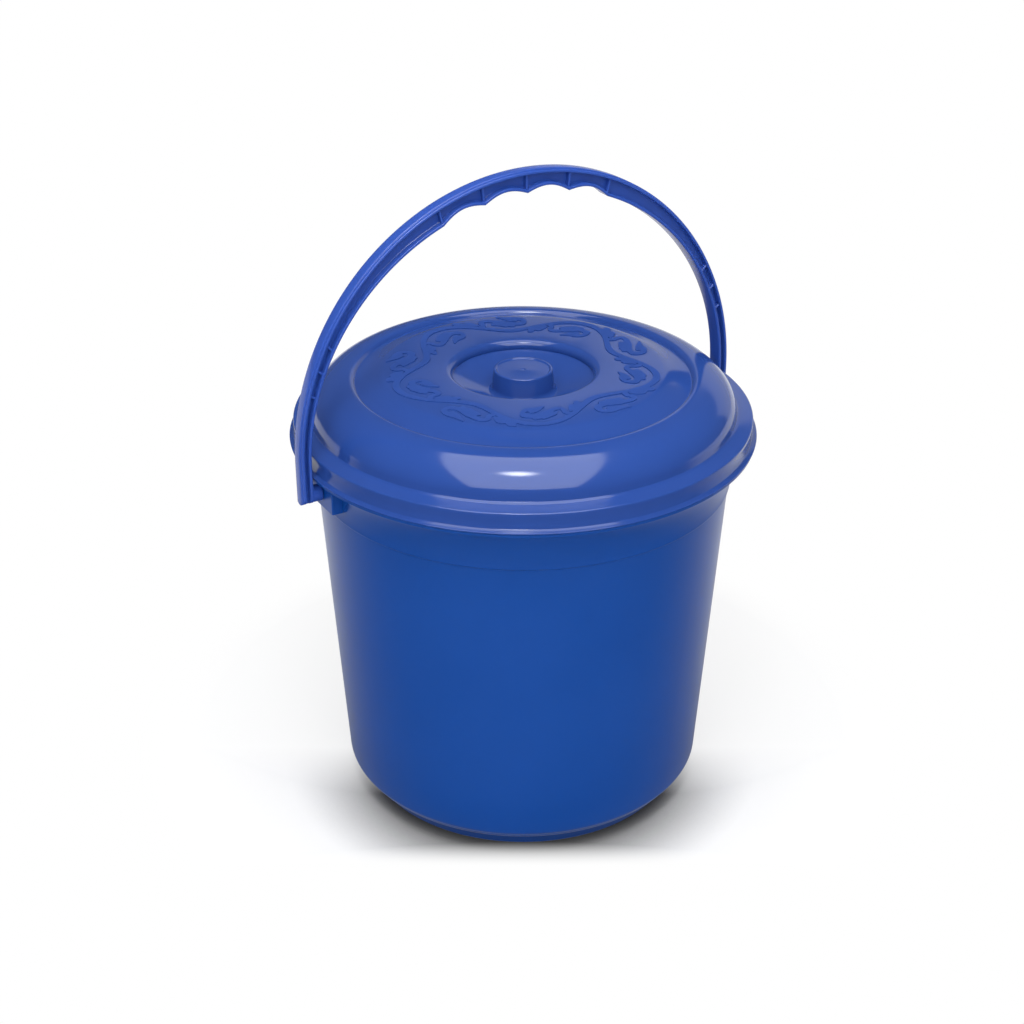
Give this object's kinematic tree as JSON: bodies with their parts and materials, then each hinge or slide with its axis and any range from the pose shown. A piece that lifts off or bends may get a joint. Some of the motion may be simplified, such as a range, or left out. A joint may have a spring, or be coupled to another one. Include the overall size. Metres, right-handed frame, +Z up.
{
  "type": "bucket with lid",
  "caption": "Round tapered plastic bucket with a domed lid, a scroll border raised on its plate, and an arched swinging handle with finger grips.",
  "frame": {"origin": "centre of the foot ring, on the ground", "axes": "+Z up, X along the handle's hinge through both ears, Y across it"},
  "size_m": [0.2848, 0.27, 0.3803],
  "materials": {
    "pail_blue": "satin injection-moulded polypropylene",
    "lid_blue": "polished injection-moulded polypropylene",
    "handle_blue": "satin injection-moulded polypropylene"
  },
  "bodies": {
    "pail": {"pail": "pail_blue", "lid": "lid_blue"},
    "handle": {"handle": "handle_blue"}
  },
  "joints": [
    {"name": "handle_hinge", "type": "hinge", "parent": "pail", "child": "handle", "pos_m": [0, 0, 0.217], "axis": [1, 0, 0], "range_deg": [-126, 126]}
  ]
}
